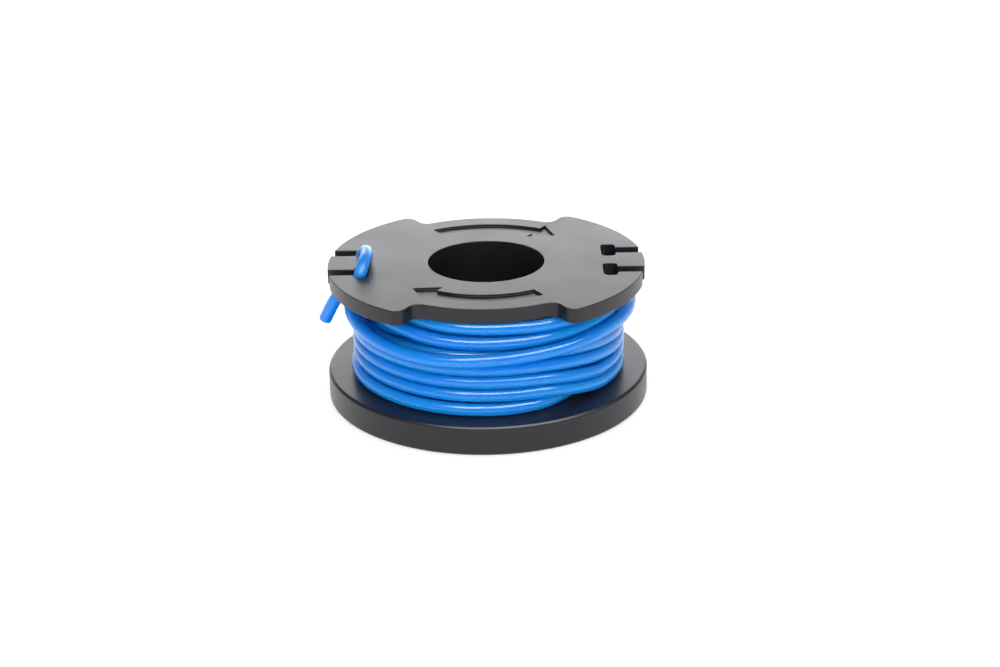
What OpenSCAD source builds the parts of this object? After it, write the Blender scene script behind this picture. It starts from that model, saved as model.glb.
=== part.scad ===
// Spool of trimmer line: one moulded spool, wound full of nylon line whose outer
// end is looped over a tongue in the upper flange. All sizes are in millimetres.
// Z is the spool's axis and Z = 0 the rim that it stands on. The tongues lie along X,
// and the line comes out at the tongue on -X.

/* [Spool] */
// Height of the spool over both flanges
spool_h = 25.8; // [23:0.2:32]
// Diameter of the lower flange
low_flange_d = 60.6; // [58:0.2:72]
// Height of the lower flange's rim
low_flange_h = 5.6; // [4.8:0.2:7]
// Diameter of the upper flange
top_flange_d = 59.3; // [56:0.1:70]
// Thickness of the upper flange
top_flange_t = 2.8; // [2.2:0.1:3.4]
// Bore that turns on the head's spindle
bore_d = 21.8; // [18:0.2:24]
// Wall of the hub tube
hub_wall = 2; // [1.6:0.1:3]

/* [Underside] */
// Wall of the lower flange's skirt
skirt_wall = 1.8; // [1.4:0.1:2.6]
// Thickness of the lower flange's web
web_t = 2; // [1.4:0.1:2.6]
// How far the hub tube stops above the rim's foot
hub_foot_gap = 0.4; // [0.2:0.1:1]
// Number of drive lugs round the hub
lug_count = 8; // [4:1:12]
// Length of a drive lug along its circle, in degrees
lug_angle = 16; // [8:1:26]
// Radial width of a drive lug
lug_w = 4; // [2:0.5:5]
// Distance from the hub tube to the drive lugs
lug_inset = 3; // [2:0.5:6]
// How far the drive lugs stop above the rim's foot
lug_foot_gap = 0.8; // [0.4:0.1:1.6]

/* [Upper flange] */
// Depth of the two stepped notches in the upper flange's edge
notch_depth = 5.3; // [2:0.1:6]
// Half the angle that a notch spans, in degrees
notch_half_angle = 30.8; // [20:0.2:36]
// Radius of the notches' inner and outer corners
notch_fillet = 1.9; // [1:0.1:2.4]
// Width of the keyhole slots
slot_w = 2.8; // [2.5:0.1:3.2]
// Distance between the two keyhole slots of a pair
slot_gap = 10.2; // [9:0.2:12]
// Length of a keyhole's pocket along Y
pocket_l = 6; // [4.4:0.2:7]
// Width of a keyhole's pocket along X
pocket_w = 2.7; // [2.5:0.1:3.4]
// Distance from the rim to the middle of the pockets
pocket_inset = 6.6; // [5.6:0.1:8]
// Corner radius of the pockets
pocket_fillet = 1; // [0.4:0.1:1.2]

/* [Arrows] */
// Depth of the two recessed direction arrows
arrow_depth = 0.38; // [0.3:0.1:1]
// Radius of the arrows' middle line
arrow_r = 18.9; // [17.5:0.1:20]
// Width of an arrow's shaft
arrow_w = 3.2; // [1.6:0.1:4.2]
// How far the head stands out on each side of the shaft
arrow_barb = 1.9; // [1:0.1:2.4]
// Half the angle that a shaft spans, in degrees
arrow_half_angle = 30.4; // [20:0.2:36]
// Length of an arrow's head, in degrees
arrow_head_angle = 13.6; // [8:0.2:20]

/* [Line] */
// Diameter of the nylon line
line_d = 2.4; // [2:0.1:2.4]
// Outer diameter of the winding
wind_d = 51.4; // [46:0.2:53]
// Height that the winding drops by where the line comes up through the upper flange
port_drop = 2; // [1.4:0.1:2.2]
// How far the loosest turn stands out on the side away from the tail
loose_turn = 1.9; // [0:0.1:2.4]
// Diameter of the anchor hole for the line's inner end
anchor_d = 2.8; // [2.5:0.1:3.4]

/* [Hidden] */
$fn = 144;
over = 1;

low_flange_r = low_flange_d / 2;
top_flange_r = top_flange_d / 2;
bore_r = bore_d / 2;
hub_r = bore_r + hub_wall;
rim_edge = 0.4;
web_z = low_flange_h - web_t;
skirt_ri = low_flange_r - skirt_wall;
top_flange_z = spool_h - top_flange_t;

lug_ri = hub_r + lug_inset;
lug_h = web_z - lug_foot_gap;

notch_r = top_flange_r - notch_depth;
pocket_x = top_flange_r - pocket_inset;
slot_y = slot_gap / 2;

line_r = line_d / 2;
anchor_r = hub_r + line_r + 0.3;
anchor_angle = 1.5 * 360 / lug_count + lug_angle / 2;

// The winding: rows of turns side by side, from the lower flange to the upper one
wind_clear = 0.1;
wind_z0 = low_flange_h;
wind_z1 = top_flange_z - wind_clear;
wind_h = wind_z1 - wind_z0;
turns_across = floor(wind_h / line_d);
turn_r = wind_d / 2 - line_r;
columns = 72;
wind_ri = hub_r / cos(180 / columns) + 0.05;
shelf_r = pocket_x - pocket_w / 2 - 0.5;
port_flat = 32;
port_fade = 30;
turn_sag = 0.5;
turn_lift = 1.2;
turn_arc = 60;

// The line's outer end: its middle line, from the winding up through one pocket, over
// the tongue, down through the other pocket and out to the cut. X is outward from the
// pockets' middle, Y along the tongue's width and Z up from the upper flange's top face.
tail_route = [
    [0.4, 5, -4.2],
    [0.7, 5, -3.2],
    [0.9, 5.1, -2],
    [0.85, 5.1, -0.7],
    [0.3, 4.7, 0.4],
    [-0.35, 3.5, 1.15],
    [-0.75, 2.1, 1.4],
    [-0.8, 0.4, 1.5],
    [-0.6, -1.6, 1.4],
    [-0.25, -3.7, 1.1],
    [0.05, -5.1, 0.5],
    [0.3, -5.7, -0.4],
    [0.6, -5.35, -1.4],
    [1.25, -5.15, -2.4],
    [2.25, -5.05, -3.05],
    [3.5, -4.95, -3.5],
    [4.8, -4.7, -4.85],
    [5.95, -4.1, -7.1],
    [7.3, -3.2, -10]
];
tail_slot_y = 5.1;
tail_foot = [-pocket_x, slot_y * 5 / tail_slot_y, wind_z1 - port_drop];
tail_sides = 8;

function polar(r, a) = [r * cos(a), r * sin(a)];
function unit(v) = v / norm(v);
// How far an angle lies from another, in degrees
function apart(a, b) = abs((a - b + 540) % 360 - 180);
// 1 at angle c, falling smoothly to 0 at w degrees either side
function swell(a, c, w) = apart(a, c) < w ? 0.5 + 0.5 * cos(180 * apart(a, c) / w) : 0;
// 1 across the side where the line comes out, falling smoothly to 0 beyond it
function port(a) =
    apart(a, 180) < port_flat ? 1 : swell(apart(a, 180) - port_flat, 0, port_fade)
    * (apart(a, 180) < port_flat + port_fade ? 1 : 0);

// Material left in a corner of radius r about c, between the directions a and b
module corner(c, r, a, b) {
    reach = r + over;
    difference() {
        polygon([c, c + polar(reach, a), c + 2 * reach * unit(polar(1, a) + polar(1, b)), c + polar(reach, b)]);
        translate(c) circle(r);
    }
}

// One stepped notch, centred on +Y, with rounded inner corners
module notch() {
    fillet_a = notch_half_angle - asin(notch_fillet / (notch_r + notch_fillet));
    difference() {
        polygon([
            [0, 0],
            polar(2 * top_flange_r, 90 - notch_half_angle),
            [0, 2 * top_flange_r],
            polar(2 * top_flange_r, 90 + notch_half_angle)
        ]);
        circle(notch_r);
        for (side = [0, 1]) mirror([side, 0])
            corner(polar(notch_r + notch_fillet, 90 - fillet_a), notch_fillet,
                270 - fillet_a, -notch_half_angle);
    }
}

// What is cut off to round the notch's two outer corners
module notch_rounding() {
    fillet_a = notch_half_angle + asin(notch_fillet / (top_flange_r - notch_fillet));
    for (side = [0, 1]) mirror([side, 0])
        corner(polar(top_flange_r - notch_fillet, 90 - fillet_a), notch_fillet,
            180 - notch_half_angle, 90 - fillet_a);
}

module rounded_pocket(w, l, r) {
    square([w - 2 * r, l], center = true);
    square([w, l - 2 * r], center = true);
    for (x = [-1, 1], y = [-1, 1]) translate([x * (w / 2 - r), y * (l / 2 - r)]) circle(r);
}

// A pocket with the slot that opens it to the rim, on +X
module keyhole() {
    translate([pocket_x, 0]) rounded_pocket(pocket_w, pocket_l, pocket_fillet);
    translate([pocket_x, -slot_w / 2]) square([pocket_inset + over, slot_w]);
}

module top_flange_outline() {
    difference() {
        circle(top_flange_r);
        for (turn = [0, 180]) rotate(turn) {
            notch();
            notch_rounding();
            for (y = [-slot_y, slot_y]) translate([0, y]) keyhole();
        }
    }
}

// A curved arrow about the bore, its shaft centred on +Y and its head clockwise from above
module arrow() {
    head_a = 90 - arrow_half_angle;
    difference() {
        circle(arrow_r + arrow_w / 2);
        circle(arrow_r - arrow_w / 2);
        polygon([
            [0, 0],
            polar(4 * arrow_r, head_a - arrow_head_angle / 5),
            [4 * arrow_r, -4 * arrow_r],
            [-4 * arrow_r, -4 * arrow_r],
            polar(4 * arrow_r, 180 - head_a)
        ]);
    }
    polygon([
        polar(arrow_r - arrow_w / 2 - arrow_barb, head_a),
        polar(arrow_r + arrow_w / 2 + arrow_barb, head_a),
        polar(arrow_r, head_a - arrow_head_angle)
    ]);
}

// Section of the lower flange, from the hub tube out to the skirt
module low_flange_section() {
    polygon([
        [bore_r, hub_foot_gap],
        [hub_r, hub_foot_gap],
        [hub_r, web_z],
        [skirt_ri, web_z],
        [skirt_ri, 0],
        [low_flange_r - rim_edge, 0],
        [low_flange_r, rim_edge],
        [low_flange_r, low_flange_h - rim_edge],
        [low_flange_r - rim_edge, low_flange_h],
        [bore_r, low_flange_h]
    ]);
}

module drive_lugs() {
    for (i = [0 : lug_count - 1]) rotate(i * 360 / lug_count)
        translate([0, 0, lug_foot_gap]) rotate_extrude(angle = lug_angle)
            translate([lug_ri, 0]) square([lug_w, lug_h + web_t / 2]);
}

module spool() color("#2b2b2e") {
    difference() {
        union() {
            rotate_extrude() low_flange_section();
            drive_lugs();
            translate([0, 0, hub_foot_gap]) cylinder(r = hub_r, h = spool_h - hub_foot_gap);
            translate([0, 0, top_flange_z]) linear_extrude(top_flange_t) top_flange_outline();
        }
        translate([0, 0, -over]) cylinder(r = bore_r, h = spool_h + 2 * over);
        translate([0, 0, spool_h - arrow_depth]) linear_extrude(arrow_depth + over)
            for (turn = [0, 180]) rotate(turn) arrow();
        rotate(anchor_angle) translate([anchor_r, 0, 0])
            cylinder(d = anchor_d, h = low_flange_h + over, $fn = 48);
    }
}

// Where the turns lie at angle a: their spacing, each one's height and its radius
function turn_pitch(a) = (wind_h - port_drop * port(a) - line_d) / (turns_across - 1);
// The loosest turn lies lower at the front and rides up and outwards on +X
function lift(k, a) =
    k == turns_across - 3 ? turn_lift * swell(a, -5, 60) - turn_sag * swell(a, -90, 70) : 0;
function turn_z(k, a) = wind_z0 + line_r + k * turn_pitch(a) + lift(k, a);
function turn_out(k, a) = turn_r
    + (k == turns_across - 3 ? loose_turn * swell(a, -5, 70) : 0)
    + (k == turns_across - 2 ? loose_turn / 3 * swell(a, 190, 50) : 0);

// Angles round a turn's own section at which it has points
function turn_angles(k) =
    let (arc = [for (t = [-1, -0.6, -0.2, 0.2, 0.6, 1]) t * turn_arc])
    k == 0 ? concat([-90], arc)
    : k == turns_across - 1 ? concat(arc, [90])
    : arc;

// Section of the winding at angle a, out along the bottom, up the turns and back in
function wind_section(a) = concat(
    [[wind_ri, wind_z0]],
    [for (k = [0 : turns_across - 1], t = turn_angles(k))
        [turn_out(k, a) + line_r * cos(t), turn_z(k, a) + line_r * sin(t)]],
    [[shelf_r, wind_z1 - port_drop * port(a)], [shelf_r - 0.6, wind_z1], [wind_ri, wind_z1]]
);

module line_winding() color("#1273e6") {
    sections = [for (i = [0 : columns - 1]) wind_section(i * 360 / columns)];
    n = len(sections[0]);
    points = [for (i = [0 : columns - 1], p = sections[i])
        [p[0] * cos(i * 360 / columns), p[0] * sin(i * 360 / columns), p[1]]];
    faces = [for (i = [0 : columns - 1], j = [0 : n - 1], half = [0, 1])
        let (
            next_i = (i + 1) % columns,
            next_j = (j + 1) % n,
            a = i * n + j,
            b = i * n + next_j,
            c = next_i * n + next_j,
            d = next_i * n + j
        )
        half == 0 ? [a, b, c] : [a, c, d]];
    polyhedron(points, faces, convexity = 8);
}

function route_dir(p, i) =
    i == 0 ? [0, 0, 1]
    : i == len(p) - 1 ? unit(p[i] - p[i - 1])
    : unit(unit(p[i + 1] - p[i]) + unit(p[i] - p[i - 1]));

// A ring of points about point i of a route, square to it
function route_ring(p, i, r, sides) =
    let (
        t = route_dir(p, i),
        u = unit(cross(t, [1, 0, 0])),
        v = cross(t, u)
    )
    [for (s = [0 : sides - 1]) p[i] + r * (cos(360 * s / sides) * u + sin(360 * s / sides) * v)];

module tube(route, r, sides) {
    rings = len(route);
    points = [for (i = [0 : rings - 1], q = route_ring(route, i, r, sides)) q];
    walls = [for (i = [0 : rings - 2], s = [0 : sides - 1], half = [0, 1])
        let (
            a = i * sides + s,
            b = i * sides + (s + 1) % sides,
            c = a + sides,
            d = b + sides
        )
        half == 0 ? [a, c, d] : [a, d, b]];
    foot = [for (s = [0 : sides - 1]) s];
    cut = [for (s = [sides - 1 : -1 : 0]) (rings - 1) * sides + s];
    polyhedron(points, concat([foot], walls, [cut]), convexity = 6);
}

module line_end() color("#2f8bf5") {
    route = [for (p = tail_route)
        [-pocket_x - p[0], p[1] * slot_y / tail_slot_y, spool_h + p[2]]];
    tube(concat([tail_foot], route), line_r, tail_sides);
}

spool();
line_winding();
line_end();
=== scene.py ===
import math

import bmesh
import bpy
from mathutils import Matrix, Vector


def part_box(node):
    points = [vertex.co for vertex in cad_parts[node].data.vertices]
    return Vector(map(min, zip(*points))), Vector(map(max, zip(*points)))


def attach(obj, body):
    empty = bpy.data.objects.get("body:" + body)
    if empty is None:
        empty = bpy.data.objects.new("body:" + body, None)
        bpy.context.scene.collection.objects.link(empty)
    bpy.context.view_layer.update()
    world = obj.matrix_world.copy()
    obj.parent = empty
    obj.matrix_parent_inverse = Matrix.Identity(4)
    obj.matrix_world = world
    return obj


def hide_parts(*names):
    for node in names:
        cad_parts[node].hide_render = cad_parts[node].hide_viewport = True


# A spool of trimmer line. Lengths in the dictionaries are millimetres in the part's own
# frame. Angles round the spool are degrees from the front, positive towards -X, which is
# the way the line walks as it is wound.

mm = 0.001
noiseSpread = (0.3, 0.7)    # a noise texture hardly leaves this range
nylonIor = 1.53
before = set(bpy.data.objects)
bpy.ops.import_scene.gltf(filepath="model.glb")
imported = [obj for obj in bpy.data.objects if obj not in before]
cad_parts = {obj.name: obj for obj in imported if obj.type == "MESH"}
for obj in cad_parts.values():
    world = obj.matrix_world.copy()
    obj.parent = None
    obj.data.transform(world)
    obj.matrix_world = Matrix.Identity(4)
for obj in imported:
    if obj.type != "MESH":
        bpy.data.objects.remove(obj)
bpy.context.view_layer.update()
scene = bpy.context.scene
print("frame: loaded", ", ".join(sorted(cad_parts)))


# Camera

view = {
    "place": (5.556, -350.941, 157.018),
    "aim": (2.376, 0, 11.041),
    "roll": -0.948,
    "lens": 72,
    "sensor": 36,
    "nearest": 10,     # nothing nearer to the camera is drawn
}


def makeCamera():
    data = bpy.data.cameras.new("camera")
    data.lens = view["lens"]
    data.sensor_width = view["sensor"]
    data.clip_start = view["nearest"] * mm
    camera = bpy.data.objects.new("camera", data)
    place, aim = Vector(view["place"]) * mm, Vector(view["aim"]) * mm
    turn = (aim - place).to_track_quat("-Z", "Y").to_matrix().to_4x4()
    roll = Matrix.Rotation(math.radians(view["roll"]), 4, "Z")
    camera.matrix_world = Matrix.Translation(place) @ turn @ roll
    scene.collection.objects.link(camera)
    scene.camera = camera


makeCamera()
print("camera: placed")


# Materials

def colour(code):
    parts = [int(code[i:i + 2], 16) / 255 for i in (1, 3, 5)]
    return [p / 12.92 if p <= 0.04045 else ((p + 0.055) / 1.055) ** 2.4 for p in parts] + [1]


def addNode(tree, kind, inputs=None, **settings):
    node = tree.nodes.new(kind)
    for name, value in settings.items():
        setattr(node, name, value)
    for name, value in (inputs or {}).items():
        socket = node.inputs[name]
        if isinstance(value, bpy.types.NodeSocket):
            tree.links.new(value, socket)
        else:
            socket.default_value = value
    return node


def newMaterial(name):
    material = bpy.data.materials.new(name)
    material.use_nodes = True
    material.node_tree.nodes.clear()
    return material, material.node_tree


# Glass-filled nylon, injection moulded: black, with the satin sheen of a finely eroded mould
spoolLook = {
    "black": "#151517",
    "greyer": "#1a1a1e",
    "roughness": (0.34, 0.4),
    "shine": 0.35,
    "cloud": 9,        # size of the faint flow clouds
    "grain": 0.35,     # mould grain, drawn coarser than the real 0.05 mm so that it shows
    "grainDepth": 0.006,
    "grainStrength": 0.35,
}


def mouldedNylon():
    material, tree = newMaterial("moulded black nylon")
    place = addNode(tree, "ShaderNodeTexCoord").outputs["Object"]
    cloud = addNode(tree, "ShaderNodeTexNoise", {
        "Vector": place, "Scale": 1 / (spoolLook["cloud"] * mm), "Detail": 3, "Roughness": 0.6})
    grain = addNode(tree, "ShaderNodeTexNoise", {
        "Vector": place, "Scale": 1 / (spoolLook["grain"] * mm), "Detail": 2, "Roughness": 0.5})
    tint = addNode(tree, "ShaderNodeMix", {
        "Factor": cloud.outputs["Fac"], "A": colour(spoolLook["black"]),
        "B": colour(spoolLook["greyer"])}, data_type="RGBA")
    rough = addNode(tree, "ShaderNodeMapRange", {
        "Value": cloud.outputs["Fac"], "From Min": noiseSpread[0], "From Max": noiseSpread[1],
        "To Min": spoolLook["roughness"][0], "To Max": spoolLook["roughness"][1]})
    bump = addNode(tree, "ShaderNodeBump", {
        "Height": grain.outputs["Fac"], "Strength": spoolLook["grainStrength"],
        "Distance": spoolLook["grainDepth"] * mm})
    shader = addNode(tree, "ShaderNodeBsdfPrincipled", {
        "Base Color": tint.outputs["Result"], "Roughness": rough.outputs["Result"],
        "IOR": nylonIor, "Specular IOR Level": spoolLook["shine"],
        "Normal": bump.outputs["Normal"]})
    addNode(tree, "ShaderNodeOutputMaterial", {"Surface": shader.outputs["BSDF"]})
    return material


# Extruded nylon monofilament: clear azure with a gloss that the die's fine lines break up
lineLook = {
    "deep": "#0466d6",
    "bright": "#129ee4",
    "roughness": (0.17, 0.22),
    "shine": 0.45,
    "clear": 0.15,         # share of the light that passes straight through
    "depth": 3,            # how far the rest wanders inside, times each colour's share
    "depthShares": (0.15, 0.6, 1.0),
    "patch": 60,           # length of the lighter and darker stretches
    "dieLine": 0.5,        # spacing of the faint lines round the section
    "dieStretch": 0.03,    # a share of how fast they change along the line
    "dieDepth": 0.02,
    "dieStrength": 0.08,
    # Handling has dulled the free end: by this much, coming on between these distances
    # from the cut
    "handled": (45, 30),
    "duller": 0.18,
}


def extrudedNylon(long):
    material, tree = newMaterial("azure nylon monofilament")
    along = addNode(tree, "ShaderNodeAttribute", attribute_name="alongLine").outputs["Vector"]
    run = addNode(tree, "ShaderNodeSeparateXYZ", {"Vector": along}).outputs["X"]
    patch = addNode(tree, "ShaderNodeTexNoise", {
        "Vector": along, "Scale": 1 / (lineLook["patch"] * mm), "Detail": 2})
    stretch = addNode(tree, "ShaderNodeMapping", {
        "Vector": along, "Scale": (lineLook["dieStretch"], 1, 1)})
    streak = addNode(tree, "ShaderNodeTexNoise", {
        "Vector": stretch.outputs["Vector"], "Scale": 1 / (lineLook["dieLine"] * mm),
        "Detail": 3, "Roughness": 0.6})
    tint = addNode(tree, "ShaderNodeMix", {
        "Factor": patch.outputs["Fac"], "A": colour(lineLook["deep"]),
        "B": colour(lineLook["bright"])}, data_type="RGBA")
    rough = addNode(tree, "ShaderNodeMapRange", {
        "Value": streak.outputs["Fac"], "From Min": noiseSpread[0], "From Max": noiseSpread[1],
        "To Min": lineLook["roughness"][0], "To Max": lineLook["roughness"][1]})
    far, near = lineLook["handled"]
    dull = addNode(tree, "ShaderNodeMapRange", {
        "Value": run, "From Min": long - far * mm, "From Max": long - near * mm,
        "To Min": 0, "To Max": lineLook["duller"]})
    roughness = addNode(tree, "ShaderNodeMath", {
        0: rough.outputs["Result"], 1: dull.outputs["Result"]}, operation="ADD")
    bump = addNode(tree, "ShaderNodeBump", {
        "Height": streak.outputs["Fac"], "Strength": lineLook["dieStrength"],
        "Distance": lineLook["dieDepth"] * mm})
    shader = addNode(tree, "ShaderNodeBsdfPrincipled", {
        "Base Color": tint.outputs["Result"], "Roughness": roughness.outputs[0],
        "IOR": nylonIor, "Specular IOR Level": lineLook["shine"],
        "Transmission Weight": lineLook["clear"], "Subsurface Weight": 1,
        "Subsurface Radius": lineLook["depthShares"],
        "Subsurface Scale": lineLook["depth"] * mm, "Normal": bump.outputs["Normal"]})
    addNode(tree, "ShaderNodeOutputMaterial", {"Surface": shader.outputs["BSDF"]})
    return material


# The line: wound up the hub layer by layer, its outer end looped over a tongue

line = {
    "diameter": 2.4,
    "sides": 16,
    "layers": (14.15, 16.74, 19.33, 21.9, 24.7),   # radius of each layer's turns
    "rows": 7,
    "loose": 2,             # top rows of the last layer, which the knots of (4, 4) take up
    "lowest": 6.8,          # height of the lowest row
    "pitch": 2.483,
    "turn": (0, 270),       # a row is level between these angles and then moves on by one
    # The fourth layer moves on at the left instead
    "odd": {3: (80, 385)},
    # Rows that begin or end elsewhere: (layer, row): (begin, end, whether the turn is full)
    "uneven": {
        (0, 1): (-145, -90, False), (0, 6): (0, 120, False), (1, 6): (180, 270, True),
        (1, 0): (0, 120, False), (2, 0): (180, 270, True), (2, 6): (0, 110, False),
        (3, 0): (80, 305, True)},
    "knotEvery": 15,        # degrees between the knots of a turn
    "ringsPerKnot": 4,
    "softenings": 8,        # passes that round off the path's small bends
    "closeRings": 1.4,      # rings this near to their neighbours lie in such a bend
    # All knots below are angle, radius and height unless they say otherwise.
    # Up through the anchor hole in the lower flange, then over into the first turn
    "inner": (
        (-165.5, 14.4, 3.5), (-165.5, 14.4, 4.5), (-162.9, 14.4, 6.9), (-155.9, 14.3, 8.65)),
    # Turns that bow outwards, the first of them just under the upper flange
    "bowed": {
        (3, 6): (
            (180, 21.9, 21.7), (215, 22.4, 21.7), (250, 23.4, 21.7), (290, 24.3, 21.7),
            (325, 24.6, 21.7), (332, 24.5, 21.7), (340, 24.1, 21.7), (350, 23.7, 21.7),
            (360, 23.45, 21.7), (370, 23.25, 21.7), (380, 22.95, 21.7), (388, 22.4, 21.65),
            (400, 21.95, 21.2), (410, 21.9, 20.7)),
        (4, 0): (
            (-42, 22.5, 6.8), (-29, 24, 6.8), (-15, 25.1, 6.8), (0, 25.3, 6.8),
            (60, 25.1, 6.8), (90, 24.7, 6.8), (180, 24.6, 6.8), (270, 24.8, 6.8),
            (294, 24.9, 6.8), (308, 24.9, 7.2), (318, 24.9, 8), (325, 24.95, 8.55),
            (331, 24.95, 9), (342, 24.85, 9.28)),
        (4, 1): (
            (0, 24.7, 9.28), (90, 24.3, 9.28), (275, 24.75, 9.28), (294, 24.8, 9.35),
            (308, 24.9, 9.75), (318, 24.9, 10.5), (325, 24.9, 11.05), (331, 24.85, 11.45),
            (342, 24.75, 11.72)),
        (4, 2): ((-15, 24.65, 11.766), (90, 24.3, 11.766), (280, 24.75, 11.766)),
        (4, 3): ((-15, 24.65, 14.249), (90, 24.3, 14.249), (280, 24.75, 14.249)),
        # The last two: up to the top row, in behind the riser, out and down again outside
        (4, 4): (
            (-15, 24.6, 16.8), (90, 24.3, 16.8), (185, 24.4, 16.85), (215, 24.4, 17.7),
            (245, 24.5, 18.9), (270, 24.7, 19.3), (300, 24.7, 19.4), (330, 24.6, 19.3),
            (355, 24.5, 19.2), (375, 24.5, 19.35), (395, 24.5, 20.2), (410, 24.4, 21.1),
            (424, 23.8, 21.5), (447, 21.8, 21.65), (475, 21.8, 21.7), (512, 24.4, 21.7),
            (540, 25.3, 21.3), (558, 26.4, 20.6), (575, 26.9, 19.8), (590, 26.95, 19.1),
            (605, 26.9, 18.7), (635, 26.9, 18.4), (665, 26.9, 18.4), (680, 26.9, 18),
            (700, 26.9, 17.5), (720, 26.9, 17.05), (738, 26.9, 16.6), (755, 26.9, 16.9),
            (770, 26.8, 17.6), (785, 26.4, 18.4), (795, 26.1, 18.9), (804, 25.5, 19.6))},
    # From the last turn up to the pocket, as x, y and z
    "riser": ((-24.9, 0.8, 20.6), (-24.8, 2.9, 21.6), (-24.5, 4.5, 22.9)),
    # Through the pocket, over the tongue, down through the other pocket and out to the cut
    "tail": (
        (-24, 5.1, 24.4), (-23.45, 4.7, 25.8), (-22.85, 3.5, 26.85), (-22.4, 1.9, 27.25),
        (-22.25, 0.2, 27.3), (-22.35, -1.5, 27.25), (-22.65, -3.2, 27.1),
        (-22.95, -4.6, 26.45), (-23.2, -5.45, 25.5), (-23.5, -5.6, 24.5),
        (-24, -5.4, 23.6), (-24.75, -5.2, 22.95), (-25.7, -5, 22.5),
        (-26.75, -4.85, 21.9), (-27.9, -4.6, 20.7), (-29.05, -4, 18.55),
        (-30.35, -3.2, 15.8)),
}


def turnStations():
    # where each row begins and ends, layer by layer, every other layer downwards
    stations, turn = [], 0
    last = len(line["layers"]) - 1
    for layer, radius in enumerate(line["layers"]):
        first = 1 if layer == 0 else 0    # the inner end takes the place of the lowest row
        rows = range(first, line["rows"] - (line["loose"] if layer == last else 0))
        for row in reversed(rows) if layer % 2 else rows:
            height = line["lowest"] + row * line["pitch"]
            usual = (*line["odd"].get(layer, line["turn"]), True)
            begin, end, full = line["uneven"].get((layer, row), usual)
            level = (begin, radius, height), (end, radius, height)
            knots = line["bowed"].get((layer, row), level)
            stations += [(360 * turn + a, r, z) for a, r, z in knots]
            turn += 1 if full else 0
    return stations


def slopes(stations, k):
    # slopes that never overshoot between stations
    steps = [(b[k] - a[k]) / (b[0] - a[0]) for a, b in zip(stations, stations[1:])]
    inner = [2 * p * q / (p + q) if p * q > 0 else 0 for p, q in zip(steps, steps[1:])]
    return [0] + inner + [steps[-1]]


def eased(stations, slope, k, i, at):
    a, b = stations[i], stations[i + 1]
    span = b[0] - a[0]
    t = (at - a[0]) / span
    return ((2 * t ** 3 - 3 * t ** 2 + 1) * a[k] + (t ** 3 - 2 * t ** 2 + t) * span * slope[i]
            + (3 * t ** 2 - 2 * t ** 3) * b[k] + (t ** 3 - t ** 2) * span * slope[i + 1])


def onSpool(at, radius, height):
    angle = math.radians(-at)
    return radius * math.sin(angle), -radius * math.cos(angle), height


def lineKnots():
    stations = turnStations()
    radiusSlope, heightSlope = slopes(stations, 1), slopes(stations, 2)
    knots = [onSpool(*knot) for knot in line["inner"]]
    at, i = stations[0][0], 0
    while at <= stations[-1][0]:
        while at > stations[i + 1][0]:
            i += 1
        knots.append(onSpool(at, eased(stations, radiusSlope, 1, i, at),
                             eased(stations, heightSlope, 2, i, at)))
        at += line["knotEvery"]
    return [Vector(k) * mm for k in (*knots, *line["riser"], *line["tail"])]


def throughKnots(knots, rings):
    # centripetal Catmull-Rom curve through the knots
    path = []
    ends = [2 * knots[0] - knots[1]] + knots + [2 * knots[-1] - knots[-2]]
    for p0, p1, p2, p3 in zip(ends, ends[1:], ends[2:], ends[3:]):
        t1 = (p1 - p0).length ** 0.5
        t2 = t1 + (p2 - p1).length ** 0.5
        t3 = t2 + (p3 - p2).length ** 0.5
        for step in range(rings):
            t = t1 + (t2 - t1) * step / rings
            a1 = p0 * ((t1 - t) / t1) + p1 * (t / t1)
            a2 = p1 * ((t2 - t) / (t2 - t1)) + p2 * ((t - t1) / (t2 - t1))
            a3 = p2 * ((t3 - t) / (t3 - t2)) + p3 * ((t - t2) / (t3 - t2))
            b1 = a1 * ((t2 - t) / t2) + a2 * (t / t2)
            b2 = a2 * ((t3 - t) / (t3 - t1)) + a3 * ((t - t1) / (t3 - t1))
            path.append(b1 * ((t2 - t) / (t2 - t1)) + b2 * ((t - t1) / (t2 - t1)))
    path.append(knots[-1])
    # the small bends lie where the rings are close, and are rounded off there alone
    for again in range(line["softenings"]):
        path[1:-1] = [(a + 2 * b + c) / 4 if (c - a).length < line["closeRings"] * mm else b
                      for a, b, c in zip(path, path[1:], path[2:])]
    return path


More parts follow.
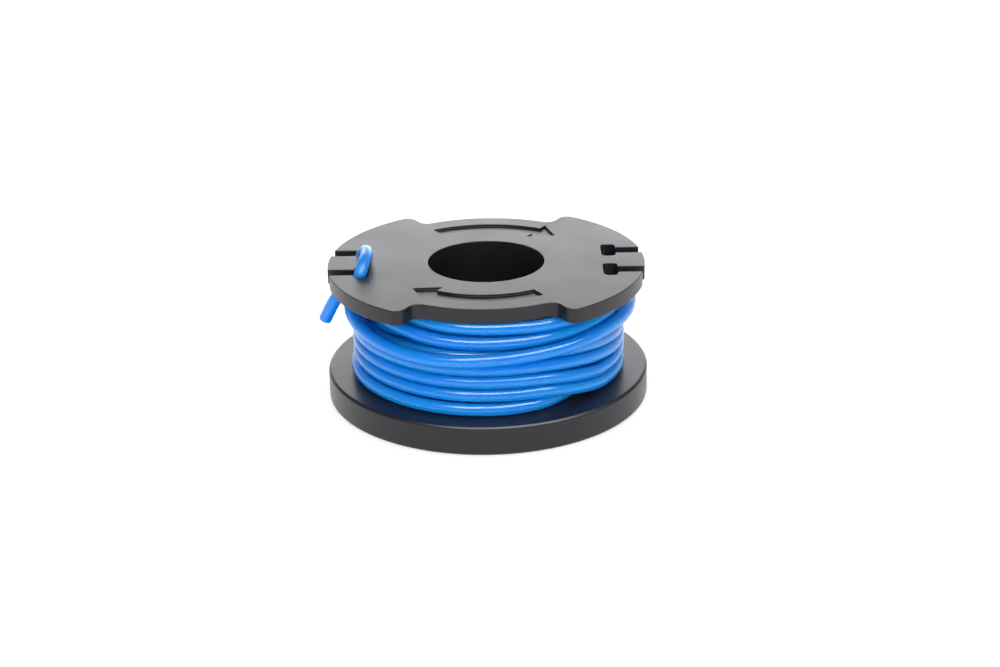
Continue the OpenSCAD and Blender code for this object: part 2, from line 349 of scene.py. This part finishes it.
def sweepTree(material):
    # Geometry Nodes: a round section swept along the curve, with its place along the line kept
    tree = bpy.data.node_groups.new("sweep the line", "GeometryNodeTree")
    tree.interface.new_socket("Curve", in_out="INPUT", socket_type="NodeSocketGeometry")
    tree.interface.new_socket("Radius", in_out="INPUT", socket_type="NodeSocketFloat")
    tree.interface.new_socket("Sides", in_out="INPUT", socket_type="NodeSocketInt")
    tree.interface.new_socket("Mesh", in_out="OUTPUT", socket_type="NodeSocketGeometry")
    given = addNode(tree, "NodeGroupInput")
    length = addNode(tree, "GeometryNodeSplineParameter").outputs["Length"]
    marked = addNode(tree, "GeometryNodeStoreNamedAttribute", {
        "Geometry": given.outputs["Curve"], "Name": "run", "Value": length},
        data_type="FLOAT", domain="POINT")
    ring = addNode(tree, "GeometryNodeCurvePrimitiveCircle", {
        "Resolution": given.outputs["Sides"], "Radius": given.outputs["Radius"]})
    side = addNode(tree, "GeometryNodeInputPosition").outputs["Position"]
    section = addNode(tree, "GeometryNodeStoreNamedAttribute", {
        "Geometry": ring.outputs["Curve"], "Name": "side", "Value": side},
        data_type="FLOAT_VECTOR", domain="POINT")
    swept = addNode(tree, "GeometryNodeCurveToMesh", {
        "Curve": marked.outputs["Geometry"], "Profile Curve": section.outputs["Geometry"],
        "Fill Caps": True})
    run = addNode(tree, "GeometryNodeInputNamedAttribute", {"Name": "run"}, data_type="FLOAT")
    across = addNode(tree, "GeometryNodeInputNamedAttribute", {"Name": "side"},
                     data_type="FLOAT_VECTOR")
    split = addNode(tree, "ShaderNodeSeparateXYZ", {"Vector": across.outputs["Attribute"]})
    joined = addNode(tree, "ShaderNodeCombineXYZ", {
        "X": run.outputs["Attribute"], "Y": split.outputs["X"], "Z": split.outputs["Y"]})
    kept = addNode(tree, "GeometryNodeStoreNamedAttribute", {
        "Geometry": swept.outputs["Mesh"], "Name": "alongLine",
        "Value": joined.outputs["Vector"]}, data_type="FLOAT_VECTOR", domain="POINT")
    solid = addNode(tree, "GeometryNodeRealizeInstances", {"Geometry": kept.outputs["Geometry"]})
    dressed = addNode(tree, "GeometryNodeSetMaterial", {
        "Geometry": solid.outputs["Geometry"], "Material": material})
    addNode(tree, "NodeGroupOutput", {"Mesh": dressed.outputs["Geometry"]})
    return tree


def setInput(modifier, name, value):
    for item in modifier.node_group.interface.items_tree:
        if item.name == name and item.in_out == "INPUT":
            modifier[item.identifier] = value


def asMesh(source, name):
    # the evaluated object as a plain mesh of its own, at the origin
    depsgraph = bpy.context.evaluated_depsgraph_get()
    mesh = bpy.data.meshes.new_from_object(
        source.evaluated_get(depsgraph), preserve_all_data_layers=True, depsgraph=depsgraph)
    mesh.name = name
    piece = bpy.data.objects.new(name, mesh)
    scene.collection.objects.link(piece)
    bpy.data.objects.remove(source)
    return piece


def makeLine():
    path = throughKnots(lineKnots(), line["ringsPerKnot"])
    long = sum((b - a).length for a, b in zip(path, path[1:]))
    curve = bpy.data.curves.new("linePath", "CURVE")
    curve.dimensions = "3D"
    spline = curve.splines.new("POLY")
    spline.points.add(len(path) - 1)
    spline.points.foreach_set("co", [c for p in path for c in (*p, 1)])
    source = bpy.data.objects.new("linePath", curve)
    scene.collection.objects.link(source)
    modifier = source.modifiers.new("sweep", "NODES")
    modifier.node_group = sweepTree(extrudedNylon(long))
    setInput(modifier, "Radius", line["diameter"] / 2 * mm)
    setInput(modifier, "Sides", line["sides"])
    piece = asMesh(source, "nylon_line")
    for face in piece.data.polygons:
        face.use_smooth = len(face.vertices) == 4    # the two cut ends stay flat
    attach(piece, "root")
    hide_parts("line_winding", "line_end")
    print("line:", round(long, 3), "m,", len(piece.data.polygons), "faces")


makeLine()


# The spool: the moulding's own solid, with the small edge rounding of its mould

spool = {
    "weld": 0.002,              # corners nearer than this are one
    "level": 0.5,               # faces that meet at fewer degrees are one
    "edge": 0.14,               # rounding of the free edges
    "segments": 2,
    "sharp": 35,                # only edges that turn by more degrees are rounded
    "arrowEdge": 0.5,           # share of the rounding on the arrows' rims
    "arrowRing": (14, 22.9),    # the arrows lie between these distances from the axis
    "arrowSide": 9,             # and at least this far from the tongues' middle line
    "arrowDepth": 1.2,          # in this depth under the upper flange's top
}


def inArrow(edge, top):
    x, y, z = (edge.verts[0].co + edge.verts[1].co) / 2 / mm
    near, far = spool["arrowRing"]
    return (z > top / mm - spool["arrowDepth"] and near < math.hypot(x, y) < far
            and abs(y) > spool["arrowSide"])


def makeSpool():
    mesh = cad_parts["spool"].data.copy()
    mesh.name = "spool_moulding"
    mesh.materials.clear()
    mesh.materials.append(mouldedNylon())
    work = bmesh.new()
    work.from_mesh(mesh)
    bmesh.ops.remove_doubles(work, verts=work.verts, dist=spool["weld"] * mm)
    bmesh.ops.dissolve_limit(
        work, angle_limit=math.radians(spool["level"]), verts=work.verts, edges=work.edges)
    weight = work.edges.layers.float.new("bevel_weight_edge")
    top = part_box("spool")[1][2]
    for edge in work.edges:
        if len(edge.link_faces) == 2 and edge.calc_face_angle(0) > math.radians(spool["sharp"]):
            edge[weight] = spool["arrowEdge"] if inArrow(edge, top) else 1
    for face in work.faces:
        face.smooth = True
    work.to_mesh(mesh)
    work.free()
    source = bpy.data.objects.new("spool_work", mesh)
    scene.collection.objects.link(source)
    bevel = source.modifiers.new("edges", "BEVEL")
    bevel.width = spool["edge"] * mm
    bevel.segments = spool["segments"]
    bevel.limit_method = "WEIGHT"
    piece = asMesh(source, "spool_moulding")
    # each corner takes the normal of the larger faces round it, so that flat faces stay flat
    lean = [Vector() for vertex in piece.data.vertices]
    for face in piece.data.polygons:
        for vertex in face.vertices:
            lean[vertex] += face.normal * face.area / mm ** 2
    piece.data.normals_split_custom_set_from_vertices([way.normalized() for way in lean])
    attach(piece, "root")
    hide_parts("spool")
    print("spool:", len(piece.data.polygons), "faces")


makeSpool()


# Floor and studio light

studio = {
    "floor": "#f4f4f4",
    "floorSize": 3000,
    "floorGlow": (0.4, 0.6),      # white that the camera and reflections see on top of it
    # Heights and depths in the sky are parts of its radius, 1 straight up or straight back
    "tent": (1.6, 0.8),           # light of the white tent round the object, low and high
    "tentHeights": (0.2, 0.7),
    "backdrop": (0.1, 0.45),      # the white backdrop ends between these heights
    "backdropDepths": (-0.5, 0.3),
    "dim": 0.2,                   # what reflections see of the room above it and in front
    "aim": (0, 0, 15),            # where every lamp points
    # A strip overhead that makes the gloss alone
    "strip": {"at": (120, -310, 600), "size": (1000, 300), "radiance": 12, "shineOnly": True},
    # A fill from the camera's side, which no reflection shows
    "front": {"at": (0, -700, 150), "size": (500, 400), "radiance": 5.5, "fillOnly": True},
    "behind": {"at": (0, 900, 170), "size": (800, 330), "radiance": 5.6, "tint": "#fbfcff"},
}


def eyesAndMirrors(tree):
    # the rays that look at things: the camera's, and those in reflections and clear plastic
    rays = addNode(tree, "ShaderNodeLightPath").outputs
    mirrors = addNode(tree, "ShaderNodeMath", {
        0: rays["Is Glossy Ray"], 1: rays["Is Transmission Ray"]}, operation="MAXIMUM")
    return rays["Is Camera Ray"], mirrors.outputs[0]


def whiteForEyes(tree, forCamera, forMirrors):
    # white for the camera and for reflections alone, so that it lights nothing
    eyes, mirrors = eyesAndMirrors(tree)
    seen = addNode(tree, "ShaderNodeMath", {0: eyes, 1: forCamera}, operation="MULTIPLY")
    return addNode(tree, "ShaderNodeMath", {
        0: mirrors, 1: forMirrors, 2: seen.outputs[0]}, operation="MULTIPLY_ADD").outputs[0]


def paleFloor():
    material, tree = newMaterial("pale studio floor")
    card = addNode(tree, "ShaderNodeBsdfDiffuse", {"Color": colour(studio["floor"])})
    glow = addNode(tree, "ShaderNodeEmission", {
        "Strength": whiteForEyes(tree, *studio["floorGlow"])})
    both = addNode(tree, "ShaderNodeAddShader", {0: card.outputs[0], 1: glow.outputs[0]})
    addNode(tree, "ShaderNodeOutputMaterial", {"Surface": both.outputs[0]})
    return material


def makeFloor():
    half = studio["floorSize"] / 2 * mm
    mesh = bpy.data.meshes.new("floor")
    mesh.from_pydata([(-half, -half, 0), (half, -half, 0), (half, half, 0), (-half, half, 0)],
                     [], [(0, 1, 2, 3)])
    mesh.materials.append(paleFloor())
    floor = bpy.data.objects.new("floor", mesh)
    scene.collection.objects.link(floor)


def makeWorld():
    # the tent lights the object, while the camera and reflections see the backdrop
    world = bpy.data.worlds.new("studio")
    scene.world = world
    world.use_nodes = True
    tree = world.node_tree
    tree.nodes.clear()
    way = addNode(tree, "ShaderNodeTexCoord").outputs["Generated"]
    split = addNode(tree, "ShaderNodeSeparateXYZ", {"Vector": way})
    low, high = studio["backdrop"]
    below = addNode(tree, "ShaderNodeMapRange", {
        "Value": split.outputs["Z"], "From Min": low, "From Max": high,
        "To Min": 1, "To Max": 0}, interpolation_type="SMOOTHSTEP")
    near, far = studio["backdropDepths"]
    back = addNode(tree, "ShaderNodeMapRange", {
        "Value": split.outputs["Y"], "From Min": near, "From Max": far},
        interpolation_type="SMOOTHSTEP")
    both = addNode(tree, "ShaderNodeMath", {0: below.outputs[0], 1: back.outputs[0]},
                   operation="MULTIPLY")
    sky = addNode(tree, "ShaderNodeMapRange", {"Value": both.outputs[0], "To Min": studio["dim"]})
    low, high = studio["tentHeights"]
    tent = addNode(tree, "ShaderNodeMapRange", {
        "Value": split.outputs["Z"], "From Min": low, "From Max": high,
        "To Min": studio["tent"][0], "To Max": studio["tent"][1]})
    fill = addNode(tree, "ShaderNodeBackground", {"Strength": tent.outputs[0]})
    seen = addNode(tree, "ShaderNodeBackground", {
        "Strength": whiteForEyes(tree, 1, sky.outputs[0])})
    eyes, mirrors = eyesAndMirrors(tree)
    looking = addNode(tree, "ShaderNodeMath", {0: eyes, 1: mirrors}, operation="MAXIMUM")
    mixed = addNode(tree, "ShaderNodeMixShader", {
        0: looking.outputs[0], 1: fill.outputs[0], 2: seen.outputs[0]})
    addNode(tree, "ShaderNodeOutputWorld", {"Surface": mixed.outputs[0]})


def makeLight(name):
    facts = studio[name]
    data = bpy.data.lights.new(name, "AREA")
    data.shape = "RECTANGLE"
    data.size, data.size_y = (side * mm for side in facts["size"])
    data.energy = facts["radiance"] * math.pi * data.size * data.size_y
    data.color = colour(facts.get("tint", "#ffffff"))[:3]
    light = bpy.data.objects.new(name, data)
    place, aim = Vector(facts["at"]) * mm, Vector(studio["aim"]) * mm
    turn = (aim - place).to_track_quat("-Z", "Y").to_matrix().to_4x4()
    light.matrix_world = Matrix.Translation(place) @ turn
    light.visible_diffuse = not facts.get("shineOnly")
    light.visible_glossy = not facts.get("fillOnly")
    light.visible_transmission = not facts.get("fillOnly")
    scene.collection.objects.link(light)


makeFloor()
makeWorld()
for name in ("strip", "front", "behind"):
    makeLight(name)
scene.view_settings.view_transform = "Standard"
print("studio: set")
